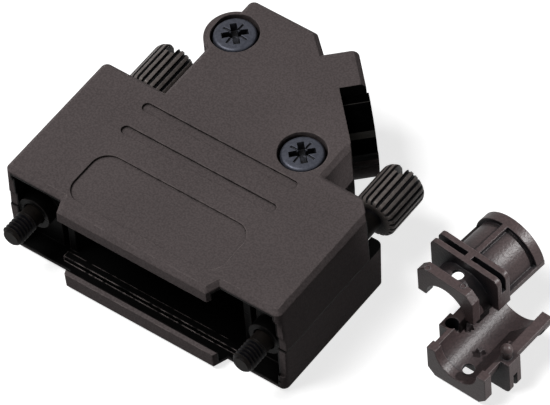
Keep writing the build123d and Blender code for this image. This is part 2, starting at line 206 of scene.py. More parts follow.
@dataclass
class EffectShelf:
    """The shader groups that more than one finish uses, each built once."""

    groups: dict[Effect, bpy.types.ShaderNodeTree] = field(default_factory=dict)

    def build(self) -> None:
        """Builds every shared group."""
        self.groups[Effect.GRAIN] = self._grain()
        self.groups[Effect.EDGE] = self._edge()
        self.groups[Effect.TONE] = self._tone()
        self.groups[Effect.HOLLOW] = self._hollow()

    def place(self, sheet: Sheet, effect: Effect, **values: object) -> bpy.types.Node:
        """Places a group in a material.

        Args:
            sheet: the material's sheet.
            effect: which group.
            values: its inputs, by name with spaces as underscores.

        Returns:
            The group node.
        """
        inputs = {key.replace("_", " "): value for key, value in values.items()}
        return sheet.add("ShaderNodeGroup", inputs, node_tree=self.groups[effect])

    @staticmethod
    def _open(name: str, inputs: dict[str, tuple[str, float]],
              outputs: dict[str, str]) -> tuple[Sheet, bpy.types.Node, bpy.types.Node]:
        """Starts a group with its named sockets.

        Args:
            name: the group's name.
            inputs: each input's socket type and default.
            outputs: each output's socket type.

        Returns:
            The sheet, its input node and its output node.
        """
        tree = bpy.data.node_groups.new(name, "ShaderNodeTree")
        for title, (kind, value) in inputs.items():
            socket = tree.interface.new_socket(title, in_out="INPUT", socket_type=kind)
            if kind == "NodeSocketFloat":
                socket.default_value = value
        for title, kind in outputs.items():
            tree.interface.new_socket(title, in_out="OUTPUT", socket_type=kind)
        sheet = Sheet(tree)
        return sheet, sheet.add("NodeGroupInput"), sheet.add("NodeGroupOutput")

    def _grain(self) -> bpy.types.ShaderNodeTree:
        """Builds the fine pebbled skin of a powder-coated casting.

        Returns:
            The group.
        """
        sheet, given, out = self._open(
            "cast_grain",
            {"Vector": ("NodeSocketVector", 0.0), "Scale": ("NodeSocketFloat", 2400.0),
             "Pits": ("NodeSocketFloat", 0.35)},
            {"Height": "NodeSocketFloat", "Speckle": "NodeSocketFloat"},
        )
        fine = sheet.add("ShaderNodeTexNoise", {"Vector": given.outputs["Vector"],
                                                "Scale": given.outputs["Scale"],
                                                "Detail": 2.0, "Roughness": 0.55})
        cells = sheet.add("ShaderNodeTexVoronoi", {"Vector": given.outputs["Vector"],
                                                   "Scale": given.outputs["Scale"]},
                          feature="SMOOTH_F1")
        pits = sheet.math("MULTIPLY", cells.outputs["Distance"], given.outputs["Pits"])
        height = sheet.math("SUBTRACT", fine.outputs[0], pits)
        sheet.feed(out, "Height", height)
        speckle = sheet.remap(fine.outputs[0], 0.35, 0.65)
        sheet.feed(out, "Speckle", speckle)
        return sheet.tree

    def _edge(self) -> bpy.types.ShaderNodeTree:
        """Builds the softened edge of a hard part and the mask that lightens it, partly as slight
        wear and partly as painted highlight.

        Returns:
            The group.
        """
        sheet, given, out = self._open(
            "rubbed_edge_and_painted_highlight",
            {"Vector": ("NodeSocketVector", 0.0), "Radius": ("NodeSocketFloat", 0.0002),
             "Patchiness": ("NodeSocketFloat", 900.0)},
            {"Mask": "NodeSocketFloat", "Normal": "NodeSocketVector"},
        )
        round_off = sheet.add("ShaderNodeBevel", {"Radius": given.outputs["Radius"]}, samples=6)
        plain = sheet.add("ShaderNodeNewGeometry")
        turn = sheet.add("ShaderNodeVectorMath", {0: round_off.outputs[0],
                                                  1: plain.outputs["Normal"]},
                         operation="DOT_PRODUCT")
        bent = sheet.remap(turn.outputs["Value"], 0.995, 0.85)
        patch = sheet.add("ShaderNodeTexNoise", {"Vector": given.outputs["Vector"],
                                                 "Scale": given.outputs["Patchiness"],
                                                 "Detail": 3.0})
        broken = sheet.remap(patch.outputs[0], 0.38, 0.62)
        mask = sheet.math("MULTIPLY", bent, broken)
        sheet.feed(out, "Mask", mask)
        sheet.feed(out, "Normal", round_off.outputs[0])
        return sheet.tree

    def _tone(self) -> bpy.types.ShaderNodeTree:
        """Builds the slow drift of tone over a surface.

        Returns:
            The group.
        """
        sheet, given, out = self._open(
            "tone_drift",
            {"Vector": ("NodeSocketVector", 0.0), "Scale": ("NodeSocketFloat", 90.0),
             "Amount": ("NodeSocketFloat", 0.5)},
            {"Tone": "NodeSocketFloat"},
        )
        slow = sheet.add("ShaderNodeTexNoise", {"Vector": given.outputs["Vector"],
                                                "Scale": given.outputs["Scale"],
                                                "Detail": 4.0, "Roughness": 0.6})
        spread = sheet.remap(slow.outputs[0], 0.3, 0.7)
        centred = sheet.math("SUBTRACT", spread, 0.5)
        scaled = sheet.math("MULTIPLY", centred, given.outputs["Amount"])
        tone = sheet.math("ADD", scaled, 0.5)
        sheet.feed(out, "Tone", tone)
        return sheet.tree

    def _hollow(self) -> bpy.types.ShaderNodeTree:
        """Builds the mask for painted shade: ambient occlusion tells open surfaces from those deep
        in recesses, which the finishes paint dark.

        Returns:
            The group.
        """
        sheet, given, out = self._open(
            "hollow_shade",
            {"Reach": ("NodeSocketFloat", 0.008), "Dark Below": ("NodeSocketFloat", 0.35),
             "Open Above": ("NodeSocketFloat", 0.9)},
            {"Open": "NodeSocketFloat"},
        )
        near = sheet.add("ShaderNodeAmbientOcclusion", {"Distance": given.outputs["Reach"]},
                         samples=6, only_local=True)
        level = sheet.remap(near.outputs["AO"], given.outputs["Dark Below"],
                            given.outputs["Open Above"])
        sheet.feed(out, "Open", level)
        return sheet.tree


@dataclass(frozen=True)
class Finish:
    """One surface finish of the hood, from its base colour to its grain, with painted shade in its
    recesses and lightened edges.
    """

    name: str
    dark: Colour
    light: Colour
    # The edge colour is lighter, partly wear and partly painted highlight.
    edge: Colour
    roughness: float
    specular: float
    grain_scale: float
    grain_depth: float
    pits: float
    edge_radius: float
    edge_amount: float
    roughness_spread: float = 0.05
    metallic: float = 0.0
    tone_scale: float = 90.0
    tone_amount: float = 0.3
    speckle_share: float = 0.5
    # Painted shade: the colour that recesses are painted in, and the reach and thresholds of the
    # mask that picks them.
    painted_shade: Colour = (0.003, 0.003, 0.004, 1.0)
    hollow_roughness: float = 0.5
    rub_and_highlight_in_shade: float = 0.6
    hollow_reach: float = 0.008
    hollow_from: float = 0.35
    hollow_to: float = 0.9

    def build(self, shelf: EffectShelf) -> bpy.types.Material:
        """Makes the finish's material.

        Args:
            shelf: the shared shader groups.

        Returns:
            The material.
        """
        material = bpy.data.materials.new(self.name)
        material.use_nodes = True
        sheet = Sheet(material.node_tree)
        where = sheet.add("ShaderNodeTexCoord").outputs["Object"]
        grain = shelf.place(sheet, Effect.GRAIN, Vector=where, Scale=self.grain_scale,
                            Pits=self.pits)
        edge = shelf.place(sheet, Effect.EDGE, Vector=where, Radius=self.edge_radius)
        tone = shelf.place(sheet, Effect.TONE, Vector=where, Scale=self.tone_scale,
                           Amount=self.tone_amount)
        drift = sheet.math("MULTIPLY_ADD", grain.outputs["Speckle"], self.speckle_share,
                           sheet.math("MULTIPLY", tone.outputs["Tone"], 1 - self.speckle_share))
        colour = sheet.blend(drift, self.dark, self.light)
        # Painted shade: the colour goes towards the painted shade colour in recesses and wherever
        # openness masks it.
        painted_shade = shelf.place(sheet, Effect.HOLLOW, Reach=self.hollow_reach,
                             Dark_Below=self.hollow_from, Open_Above=self.hollow_to)
        level = self.openness(sheet, where, painted_shade.outputs["Open"])
        colour = sheet.blend(level, self.painted_shade, colour)
        # Edges are lightened, partly as wear and partly as painted highlight, and less where
        # painted shade falls.
        rub_and_highlight = sheet.math("MULTIPLY", edge.outputs["Mask"], self.edge_amount)
        kept = self.kept_rub_and_highlight(sheet, where)
        rub_and_highlight = sheet.math("MULTIPLY", rub_and_highlight, sheet.remap(level, 0.0, 1.0, kept, 1.0, smooth=False))
        colour = sheet.blend(rub_and_highlight, colour, self.edge)
        rough = sheet.remap(tone.outputs["Tone"], 0.0, 1.0, self.roughness - self.roughness_spread,
                            self.roughness + self.roughness_spread, smooth=False)
        rough = sheet.remap(level, 0.0, 1.0, self.hollow_roughness, rough, smooth=False)
        bump = sheet.add("ShaderNodeBump", {"Height": grain.outputs["Height"],
                                            "Normal": edge.outputs["Normal"],
                                            "Strength": 1.0, "Distance": self.grain_depth})
        shader = sheet.add("ShaderNodeBsdfPrincipled", {
            "Base Color": colour, "Roughness": rough, "Metallic": self.metallic,
            "Specular IOR Level": self.specular, "Normal": bump.outputs["Normal"]})
        sheet.add("ShaderNodeOutputMaterial", {"Surface": shader.outputs[0]})
        return material

    def openness(self, sheet: Sheet, where: Socket,
                 level: Socket) -> Socket:
        """How much of its own colour the surface keeps at a point, 0 where it is painted fully as
        shade and 1 in the open.

        Args:
            sheet: the material's sheet.
            where: the point in the object's frame.
            level: the openness that its surroundings give.

        Returns:
            The openness's socket.
        """
        return level

    def kept_rub_and_highlight(self, sheet: Sheet, where: Socket) -> object:
        """How much of the edge lightening, wear with painted highlight, stays where painted shade
        falls, as a number or a socket.

        Args:
            sheet: the material's sheet.
            where: the point in the object's frame.

        Returns:
            The share, 0 to 1 or above where an edge there is brighter.
        """
        return self.rub_and_highlight_in_shade


@dataclass(frozen=True)
class CastPaint(Finish):
    """The shells' paint, with the parting line and painted shade on the walls behind each opening.
    """

    parting: float = 7.4 * MM
    parting_half: float = 0.05 * MM
    parting_soft: float = 0.1 * MM
    # Painted shade: the box behind the mouth, and the exit's bore, notch and near wall, that are
    # painted dark.
    pocket_side: float = 18.95 * MM
    pocket_front: float = -11.0 * MM
    pocket_back: float = 8.4 * MM
    lip_side: float = 12.2 * MM
    seat_reach: float = 2.0 * MM
    pocket_low: float = 0.9 * MM
    pocket_high: float = 13.9 * MM
    bore_radius: float = 5.0 * MM
    bore_length: float = 12.0 * MM
    notch_back: float = -3.45 * MM
    ear_wall: float = 0.1 * MM
    ear_top: float = 7.3 * MM
    near_wall: float = 4.8 * MM
    near_wall_dark: float = 1.0 * MM
    soft: float = 0.12 * MM
    # Painted highlight: the box round the rib whose edges are painted brighter.
    rib_half: float = 13.3 * MM
    rib_front: float = -9.3 * MM
    rib_back: float = -7.8 * MM
    rib_top: float = 2.3 * MM
    rib_painted_highlight: float = 1.5

    def kept_rub_and_highlight(self, sheet: Sheet, where: Socket) -> object:
        """Paints a brighter highlight on the edges of the rib that the connector's flange sits on.

        Args:
            sheet: the material's sheet.
            where: the point in the object's frame.

        Returns:
            The share's socket.
        """
        x, y, z = sheet.parts(where)
        rib = self._within(sheet, (
            sheet.math("SUBTRACT", self.rib_half, sheet.math("ABSOLUTE", x)),
            sheet.math("SUBTRACT", y, self.rib_front), sheet.math("SUBTRACT", self.rib_back, y),
            sheet.math("SUBTRACT", self.rib_top, z)))
        return sheet.remap(rib, 0.0, 1.0, self.rub_and_highlight_in_shade, self.rib_painted_highlight, smooth=False)

    def openness(self, sheet: Sheet, where: Socket,
                 level: Socket) -> Socket:
        """Paints shade on the pocket behind the mouth and on the exit's bore and notch, and
        darkens the parting line.

        Args:
            sheet: the material's sheet.
            where: the point in the object's frame.
            level: the openness that its surroundings give.

        Returns:
            The openness's socket.
        """
        x, y, z = sheet.parts(where)
        line = sheet.remap(self._apart(sheet, z, self.parting), self.parting_half,
                           self.parting_half + self.parting_soft)
        beside = sheet.math("GREATER_THAN", sheet.math("ABSOLUTE", x), self.lip_side)
        front = sheet.math("MULTIPLY_ADD", beside, -self.seat_reach, self.pocket_front)
        pocket = self._within(sheet, (
            sheet.math("SUBTRACT", self.pocket_side, sheet.math("ABSOLUTE", x)),
            sheet.math("SUBTRACT", y, front),
            sheet.math("SUBTRACT", self.pocket_back, y),
            sheet.math("SUBTRACT", z, self.pocket_low),
            sheet.math("SUBTRACT", self.pocket_high, z)))
        # Painted shade: the pocket and the exit take the painted shade colour; the parting line is
        # the seam's own dark line.
        painted_shade_mask = sheet.math("MAXIMUM", pocket, self._exit_painted_shade(sheet, where))
        shown = sheet.math("MINIMUM", line, sheet.math("SUBTRACT", 1.0, painted_shade_mask))
        return sheet.math("MINIMUM", level, shown)

    def _exit_painted_shade(self, sheet: Sheet, where: Socket) -> Socket:
        """The mask of painted shade on the exit's bore, the ear's cut wall and the near wall's
        upper edge.

        Args:
            sheet: the material's sheet.
            where: the point in the object's frame.

        Returns:
            The mask's socket.
        """
        c, s = EXIT_WAY
        off = sheet.add("ShaderNodeVectorMath", {0: where, 1: EXIT_CENTRE},
                        operation="SUBTRACT").outputs[0]
        along, across, up = (
            sheet.add("ShaderNodeVectorMath", {0: off, 1: way},
                      operation="DOT_PRODUCT").outputs["Value"]
            for way in ((c, s, 0.0), (s, -c, 0.0), (0.0, 0.0, 1.0)))
        bore = self._within(sheet, (
            sheet.math("SUBTRACT", self.bore_radius, sheet.radius(across, up)),
            sheet.math("ADD", along, self.bore_length)))
        forward = sheet.math("SUBTRACT", along, self.notch_back)
        below_top = sheet.math("SUBTRACT", self.ear_top, up)
        cut = self._within(sheet, (
            forward, below_top, up,
            sheet.math("SUBTRACT", 2 * self.soft, self._apart(sheet, across, self.ear_wall))))
        near = self._within(sheet, (
            forward, below_top, sheet.math("SUBTRACT", up, self.near_wall_dark),
            sheet.math("SUBTRACT", across, self.near_wall)))
        return sheet.math("MAXIMUM", bore, sheet.math("MAXIMUM", cut, near))

    @staticmethod
    def _apart(sheet: Sheet, value: Socket, middle: float) -> Socket:
        """How far a value lies from a middle, either way."""
        return sheet.math("ABSOLUTE", sheet.math("SUBTRACT", value, middle))

    def _within(self, sheet: Sheet,
                margins: tuple[Socket, ...]) -> Socket:
        """The mask of the points where every margin is positive, with a soft border.

        Args:
            sheet: the material's sheet.
            margins: how far inside each border a point lies.

        Returns:
            The mask's socket.
        """
        least = margins[0]
        for margin in margins[1:]:
            least = sheet.math("MINIMUM", least, margin)
        return sheet.remap(least, -self.soft, 0.0)


CAST_PAINT = CastPaint(
    "cast_paint", tint(69, 63, 63), tint(95, 87, 87), tint(136, 126, 124),
    roughness=0.7, specular=0.04, grain_scale=4200.0, grain_depth=0.018 * MM, pits=0.45,
    edge_radius=0.22 * MM, edge_amount=0.55, painted_shade=tint(3, 3, 3), hollow_reach=5.0 * MM,
    hollow_from=0.3, hollow_to=0.8, rub_and_highlight_in_shade=0.12)
EXIT_LINING = Finish(
    "exit_lining", tint(1, 1, 1), tint(3, 3, 3), tint(40, 38, 37),
    roughness=0.7, specular=0.0, grain_scale=2300.0, grain_depth=0.01 * MM, pits=0.3,
    edge_radius=0.08 * MM, edge_amount=0.5)
# Painted reflection: the lighter finish of the sleeve's two glint strips.
EXIT_PAINTED_GLINT = Finish(
    "exit_painted_glint", tint(15, 14, 12), tint(26, 24, 21), tint(44, 41, 38),
    roughness=0.6, specular=0.1, grain_scale=2300.0, grain_depth=0.01 * MM, pits=0.3,
    edge_radius=0.1 * MM, edge_amount=0.3)
COVER_SCREW = Finish(
    "blackened_screw", tint(46, 48, 57), tint(70, 72, 81), tint(110, 112, 122),
    roughness=0.42, roughness_spread=0.06, metallic=0.5, specular=0.3, grain_scale=2600.0,
    grain_depth=0.008 * MM, pits=0.2, edge_radius=0.12 * MM, edge_amount=0.4,
    hollow_reach=1.6 * MM, hollow_from=0.45, hollow_to=0.92)
THUMBSCREW = Finish(
    "blackened_knob", tint(80, 74, 71), tint(106, 99, 96), tint(146, 139, 134),
    roughness=0.42, roughness_spread=0.07, metallic=0.1, specular=0.15, grain_scale=2400.0,
    grain_depth=0.008 * MM, pits=0.2, edge_radius=0.12 * MM, edge_amount=0.45,
    hollow_reach=1.3 * MM, hollow_from=0.74, hollow_to=0.95, rub_and_highlight_in_shade=0.1)
# Painted shade: the knob's blackened steel painted far darker ahead of the knob, with a painted
# highlight on the crests together with their wear.
THREAD = Finish(
    "blackened_thread_painted_shade", tint(9, 7, 6), tint(20, 17, 15), tint(88, 80, 72),
    roughness=0.5, roughness_spread=0.07, specular=0.05, grain_scale=2400.0,
    grain_depth=0.008 * MM, pits=0.2, edge_radius=0.06 * MM, edge_amount=0.55,
    hollow_reach=0.6 * MM, hollow_from=0.7, hollow_to=0.98, rub_and_highlight_in_shade=0.25)
CLAMP_PLASTIC = Finish(
    "clamp_plastic", tint(38, 31, 31), tint(55, 45, 45), tint(98, 88, 90),
    roughness=0.41, specular=0.16, grain_scale=3600.0, grain_depth=0.03 * MM, pits=0.35,
    edge_radius=0.2 * MM, edge_amount=0.3, hollow_reach=5.0 * MM, hollow_from=0.5,
    hollow_to=0.95)
# The grip teeth and the ejector marks: a darker, glossier plastic than the clamp halves.
CLAMP_DARK = Finish(
    "clamp_plastic_darker", tint(24, 20, 21), tint(40, 34, 35), tint(96, 88, 90),
    roughness=0.4, specular=0.4, grain_scale=3600.0, grain_depth=0.01 * MM, pits=0.25,
    edge_radius=0.1 * MM, edge_amount=0.5, hollow_reach=1.0 * MM, hollow_from=0.4,
    hollow_to=0.92)
SPRING_STEEL = Finish(
    "spring_steel", tint(120, 120, 124), tint(150, 150, 154), tint(200, 200, 204),
    roughness=0.3, metallic=1.0, specular=0.5, grain_scale=1600.0, grain_depth=0.004 * MM,
    pits=0.1, edge_radius=0.1 * MM, edge_amount=0.4)


@dataclass
class Wardrobe:
    """Every finish of the object, built once and handed out by name."""

    shelf: EffectShelf
    made: dict[str, bpy.types.Material] = field(default_factory=dict)

    def get(self, finish: Finish) -> bpy.types.Material:
        """Returns the finish's material, built at its first use.

        Args:
            finish: the finish.

        Returns:
            Its material.
        """
        if finish.name not in self.made:
            self.made[finish.name] = finish.build(self.shelf)
        return self.made[finish.name]

    def dress(self, piece: bpy.types.Object, finish: Finish) -> None:
        """Gives a piece one finish on its own slot.

        Args:
            piece: the piece or the CAD node's object.
            finish: the finish.
        """
        if not piece.material_slots:
            piece.data.materials.append(None)
        for held in piece.material_slots:
            held.link = "OBJECT"
            held.material = self.get(finish)


@dataclass
class KeptNodes:
    """CAD nodes that keep their shape and only get a finish."""

    nodes: tuple[str, ...]
    finish: Finish

    def build(self, wardrobe: Wardrobe) -> None:
        """Dresses every node.

        Args:
            wardrobe: the finishes.
        """
        for name in self.nodes:
            wardrobe.dress(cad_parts[name], self.finish)
            log.info("%s: %s", name, self.finish.name)


@dataclass
class Shells(KeptNodes):
    """The two die-cast shells."""

    nodes: tuple[str, ...] = ("upper_shell", "lower_shell")
    finish: Finish = CAST_PAINT


@dataclass
class Clips(KeptNodes):
    """The snap-on clips that hold the thumbscrews in the hood."""

    nodes: tuple[str, ...] = ("screw_clip_left", "screw_clip_right")
    finish: Finish = SPRING_STEEL


@dataclass
class CableClamp(KeptNodes):
    """The two plastic clamp halves that lie beside the hood."""

    nodes: tuple[str, ...] = ("clamp_half_lower", "clamp_half_upper")
    finish: Finish = CLAMP_PLASTIC


def show(name: str, data: bpy.types.ID) -> bpy.types.Object:
    """Puts a mesh, a lamp or a camera into the scene.

    Args:
        name: the object's name.
        data: what it shows.

    Returns:
        The new object.
    """
    made = bpy.data.objects.new(name, data)
    bpy.context.scene.collection.objects.link(made)
    return made


def put_down(name: str, shape: bmesh.types.BMesh) -> bpy.types.Object:
    """Turns a shape into an object in the scene.

    Args:
        name: the object's name.
        shape: the finished shape; it is freed.

    Returns:
        The new object.
    """
    mesh = bpy.data.meshes.new(name)
    shape.to_mesh(mesh)
    shape.free()
    return show(name, mesh)


def skin(shape: bmesh.types.BMesh,
         rings: list[list[bmesh.types.BMVert]]) -> list[list[bmesh.types.BMFace]]:
    """Joins each loop of points to the next with four-sided faces.

    Args:
        shape: the shape that the faces join.
        rings: the loops, all of one length.

    Returns:
        The faces between each loop and the next.
    """
    bands = []
    for near, far in zip(rings, rings[1:]):
        band = []
        for k in range(len(near)):
            after = (k + 1) % len(near)
            band.append(shape.faces.new((near[k], near[after], far[after], far[k])))
        bands.append(band)
    return bands


@dataclass
class ExitSleeve:
    """The near-black tube that closes the open quarter of the cable exit; it has no sheen of its
    own, and its two lighter strips are painted reflections.
    """

    inner: float = 4.95 * MM
    outer: float = 6.1 * MM
    ledge: float = 0.14 * MM
    length: float = 3.9 * MM
    end_inset: float = 0.02 * MM
    soft: float = 0.06 * MM
    start: int = 2
    # Painted reflections: the degrees round the exit of the thin glint strip and of the wider
    # lower strip.
    glint_from: int = 13
    ledge_at: int = 14
    reflection_from: int = 46
    reflection_to: int = 54
    stop: int = 76
    ledge_step: float = 0.3

    def build(self, wardrobe: Wardrobe) -> None:
        """Makes, places and dresses the sleeve.

        Args:
            wardrobe: the finishes.
        """
        places = [(float(degree), 0.0) for degree in range(self.start, self.ledge_at + 1)]
        places += [(self.ledge_at + self.ledge_step + degree, self.ledge)
                   for degree in range(self.stop - self.ledge_at)]
        shape = bmesh.new()
        loops = [[shape.verts.new(point) for point in self._section(bend, sink)]
                 for bend, sink in places]
        # Painted reflections: faces in the glint strip and the lower strip take the second,
        # lighter finish.
        for (bend, _), band in zip(places, skin(shape, loops)):
            painted_glint = (self.reflection_from <= bend < self.reflection_to
                       or self.glint_from <= bend < self.ledge_at)
            for face in band:
                face.material_index = int(painted_glint)
        shape.faces.new(loops[0])
        shape.faces.new(list(reversed(loops[-1])))
        bmesh.ops.recalc_face_normals(shape, faces=shape.faces)
        piece = put_down("exit_sleeve", shape)
        for finish in (EXIT_LINING, EXIT_PAINTED_GLINT):
            piece.data.materials.append(wardrobe.get(finish))
        smooth(piece.data)
        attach(piece, "hood")
        log.info("exit_sleeve: %d faces", len(piece.data.polygons))

    def _section(self, bend: float, sink: float) -> list[tuple[float, float, float]]:
        """The sleeve's cross-section at one place round the exit.

        Args:
            bend: the angle from upright towards the near side, in degrees.
            sink: how far the outside lies below the full radius.

        Returns:
            The section's corners.
        """
        turn = math.radians(bend)
        c, s = EXIT_WAY
        wide = self.outer - sink
        corners = []
        for radius, out in ((self.inner, -self.length), (wide, -self.length), (wide, -self.soft),
                            (wide - self.soft, 0.0), (self.inner, 0.0)):
            across, up = radius * math.sin(turn), radius * math.cos(turn)
            along = out - self.end_inset
            corners.append((EXIT_CENTRE[0] + along * c + across * s,
                            EXIT_CENTRE[1] + along * s - across * c, EXIT_CENTRE[2] + up))
        return corners


@dataclass
class ClampTeeth:
    """The star-shaped grip teeth and the ejector marks on the clamp halves."""

    pieces: tuple[str, ...] = ("clamp_teeth", "clamp_marks")
    lower: str = "clamp_half_lower"
    upper: str = "clamp_half_upper"
    star_long: float = 0.72 * MM
    star_short: float = 0.34 * MM
    star_height: float = 0.75 * MM
    star_sink: float = 0.12 * MM
    star_taper: float = 0.72
    star_round: float = 0.06 * MM
    star_crown: float = 0.08
    star_corners: int = 16
    mark_corners: int = 20
    mark_round: float = 0.05 * MM
    mark_inner: float = 0.26 * MM
    mark_outer: float = 0.4 * MM
    mark_height: float = 0.07 * MM
    stars: tuple[tuple[float, float, float, float], ...] = (
        (35.86 * MM, 6.46 * MM, 8.0 * MM, 20.0), (33.35 * MM, 7.75 * MM, 8.0 * MM, 5.0))
    marks: tuple[Place, ...] = (
        (27.35 * MM, 8.3 * MM, 12.0 * MM), (32.3 * MM, 8.42 * MM, 12.0 * MM))

    def build(self, wardrobe: Wardrobe) -> None:
        """Makes the teeth and the marks where the halves' own surfaces are.

        Args:
            wardrobe: the finishes.
        """
        shape = bmesh.new()
        for x, y, top, turn in self.stars:
            spot = self._below(self.lower, x, y, top)
            self._star(shape, spot, turn)
        self._hand_out(shape, self.pieces[0], wardrobe)
        shape = bmesh.new()
        for x, y, top in self.marks:
            self._ring(shape, self._below(self.upper, x, y, top))
        self._hand_out(shape, self.pieces[1], wardrobe)

    @staticmethod
    def _below(node: str, x: float, y: float, top: float) -> Vector:
        """The first point of a CAD node straight below a place."""
        found, spot, _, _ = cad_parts[node].ray_cast(Vector((x, y, top)), Vector((0, 0, -1)))
        return spot if found else Vector((x, y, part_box(node)[0].z))

    def _star(self, shape: bmesh.types.BMesh, spot: Vector, turn: float) -> None:
        """Adds one four-pointed tooth that narrows upwards.

        Args:
            shape: the shape that the tooth joins.
            spot: where it stands.
            turn: how far it is turned, in degrees.
        """
        between = 0.8 * self.star_short + 0.2 * self.star_long
        reaches = (self.star_long, between, self.star_short, between)
        rings = []
        levels = ((-self.star_sink, 1.0), (self.star_height - self.star_round, self.star_taper),
                  (self.star_height, self.star_taper - self.star_crown))
        for height, share in levels:
            ring = []
            for k in range(self.star_corners):
                reach = reaches[k % len(reaches)]
                bend = math.radians(turn + 360 / self.star_corners * k)
                ring.append(shape.verts.new((spot.x + reach * share * math.cos(bend),
                                             spot.y + reach * share * math.sin(bend),
                                             spot.z + height)))
            rings.append(ring)
        skin(shape, rings)
        shape.faces.new(rings[0])
        shape.faces.new(list(reversed(rings[-1])))

    def _ring(self, shape: bmesh.types.BMesh, spot: Vector) -> None:
        """Adds the low raised ring that an ejector pin leaves.

        Args:
            shape: the shape that the ring joins.
            spot: where it lies.
        """
        outline = ((self.mark_outer, -self.mark_height), (self.mark_outer, 0.6 * self.mark_height),
                   (self.mark_outer - self.mark_round, self.mark_height),
                   (self.mark_inner + self.mark_round, self.mark_height),
                   (self.mark_inner, -self.mark_height))
        rings = []
        for step in range(self.mark_corners):
            bend = 2 * math.pi * step / self.mark_corners
            rings.append([shape.verts.new((spot.x + radius * math.cos(bend),
                                           spot.y + radius * math.sin(bend), spot.z + height))
                          for radius, height in outline])
        skin(shape, rings + rings[:1])

    @staticmethod
    def _hand_out(shape: bmesh.types.BMesh, name: str, wardrobe: Wardrobe) -> None:
        """Turns a shape into a dressed piece that rides with the hood.

        Args:
            shape: the finished shape; it is freed.
            name: the piece's name.
            wardrobe: the finishes.
        """
        bmesh.ops.recalc_face_normals(shape, faces=shape.faces)
        piece = put_down(name, shape)
        smooth(piece.data)
        wardrobe.dress(piece, CLAMP_DARK)
        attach(piece, "hood")
        log.info("%s: %d faces", name, len(piece.data.polygons))


def smooth(mesh: bpy.types.Mesh, sharp: float = 38.0) -> None:
    """Shades a mesh smooth but for its sharp edges.

    Args:
        mesh: the mesh to shade.
        sharp: the angle in degrees past which an edge stays sharp.
    """
    for polygon in mesh.polygons:
        polygon.use_smooth = True
    mesh.set_sharp_from_angle(angle=math.radians(sharp))


def plain_mesh(carrier: bpy.types.Object, name: str) -> bpy.types.Object:
    """Turns an object with live modifiers into one with a plain mesh at the origin.

    Args:
        carrier: the object to read; it is removed.
        name: the new piece's name.

    Returns:
        The new piece.
    """
    graph = bpy.context.evaluated_depsgraph_get()
    mesh = bpy.data.meshes.new_from_object(carrier.evaluated_get(graph))
    mesh.name = name
    bpy.data.objects.remove(carrier)
    return show(name, mesh)


def settle(carrier: bpy.types.Object, tree: bpy.types.GeometryNodeTree,
           sizes: dict[str, float]) -> None:
    """Puts a tree on an object and sets its named inputs.

    Args:
        carrier: the object that the tree shapes.
        tree: the Geometry Nodes tree.
        sizes: the inputs by name.
    """
    modifier = carrier.modifiers.new("shape", "NODES")
    modifier.node_group = tree
    for item in tree.interface.items_tree:
        if item.in_out == "INPUT" and item.name in sizes:
            modifier[item.identifier] = sizes[item.name]
    carrier.update_tag()


def hand_over(piece: bpy.types.Object, body: str, node: str,
              sharp: float = 38.0) -> None:
    """Smooths a finished piece and lets it stand for its CAD node.

    Args:
        piece: the finished piece.
        body: the body that it moves with.
        node: the CAD node that it replaces.
        sharp: the angle in degrees past which an edge stays sharp.
    """
    smooth(piece.data, sharp)
    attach(piece, body)
    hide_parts(node)
    log.info("%s: %d faces", piece.name, len(piece.data.polygons))


def shape_tree(name: str, sizes: tuple[str, ...]) -> tuple[Sheet, bpy.types.NodeOutputs]:
    """Starts a Geometry Nodes tree with a named input for each size.

    Args:
        name: the tree's name.
        sizes: the inputs' names.

    Returns:
        The tree's sheet and its inputs.
    """
    tree = bpy.data.node_groups.new(name, "GeometryNodeTree")
    tree.interface.new_socket("Geometry", in_out="INPUT", socket_type="NodeSocketGeometry")
    for title in sizes:
        tree.interface.new_socket(title, in_out="INPUT", socket_type="NodeSocketFloat")
    tree.interface.new_socket("Geometry", in_out="OUTPUT", socket_type="NodeSocketGeometry")
    sheet = Sheet(tree)
    return sheet, sheet.add("NodeGroupInput").outputs


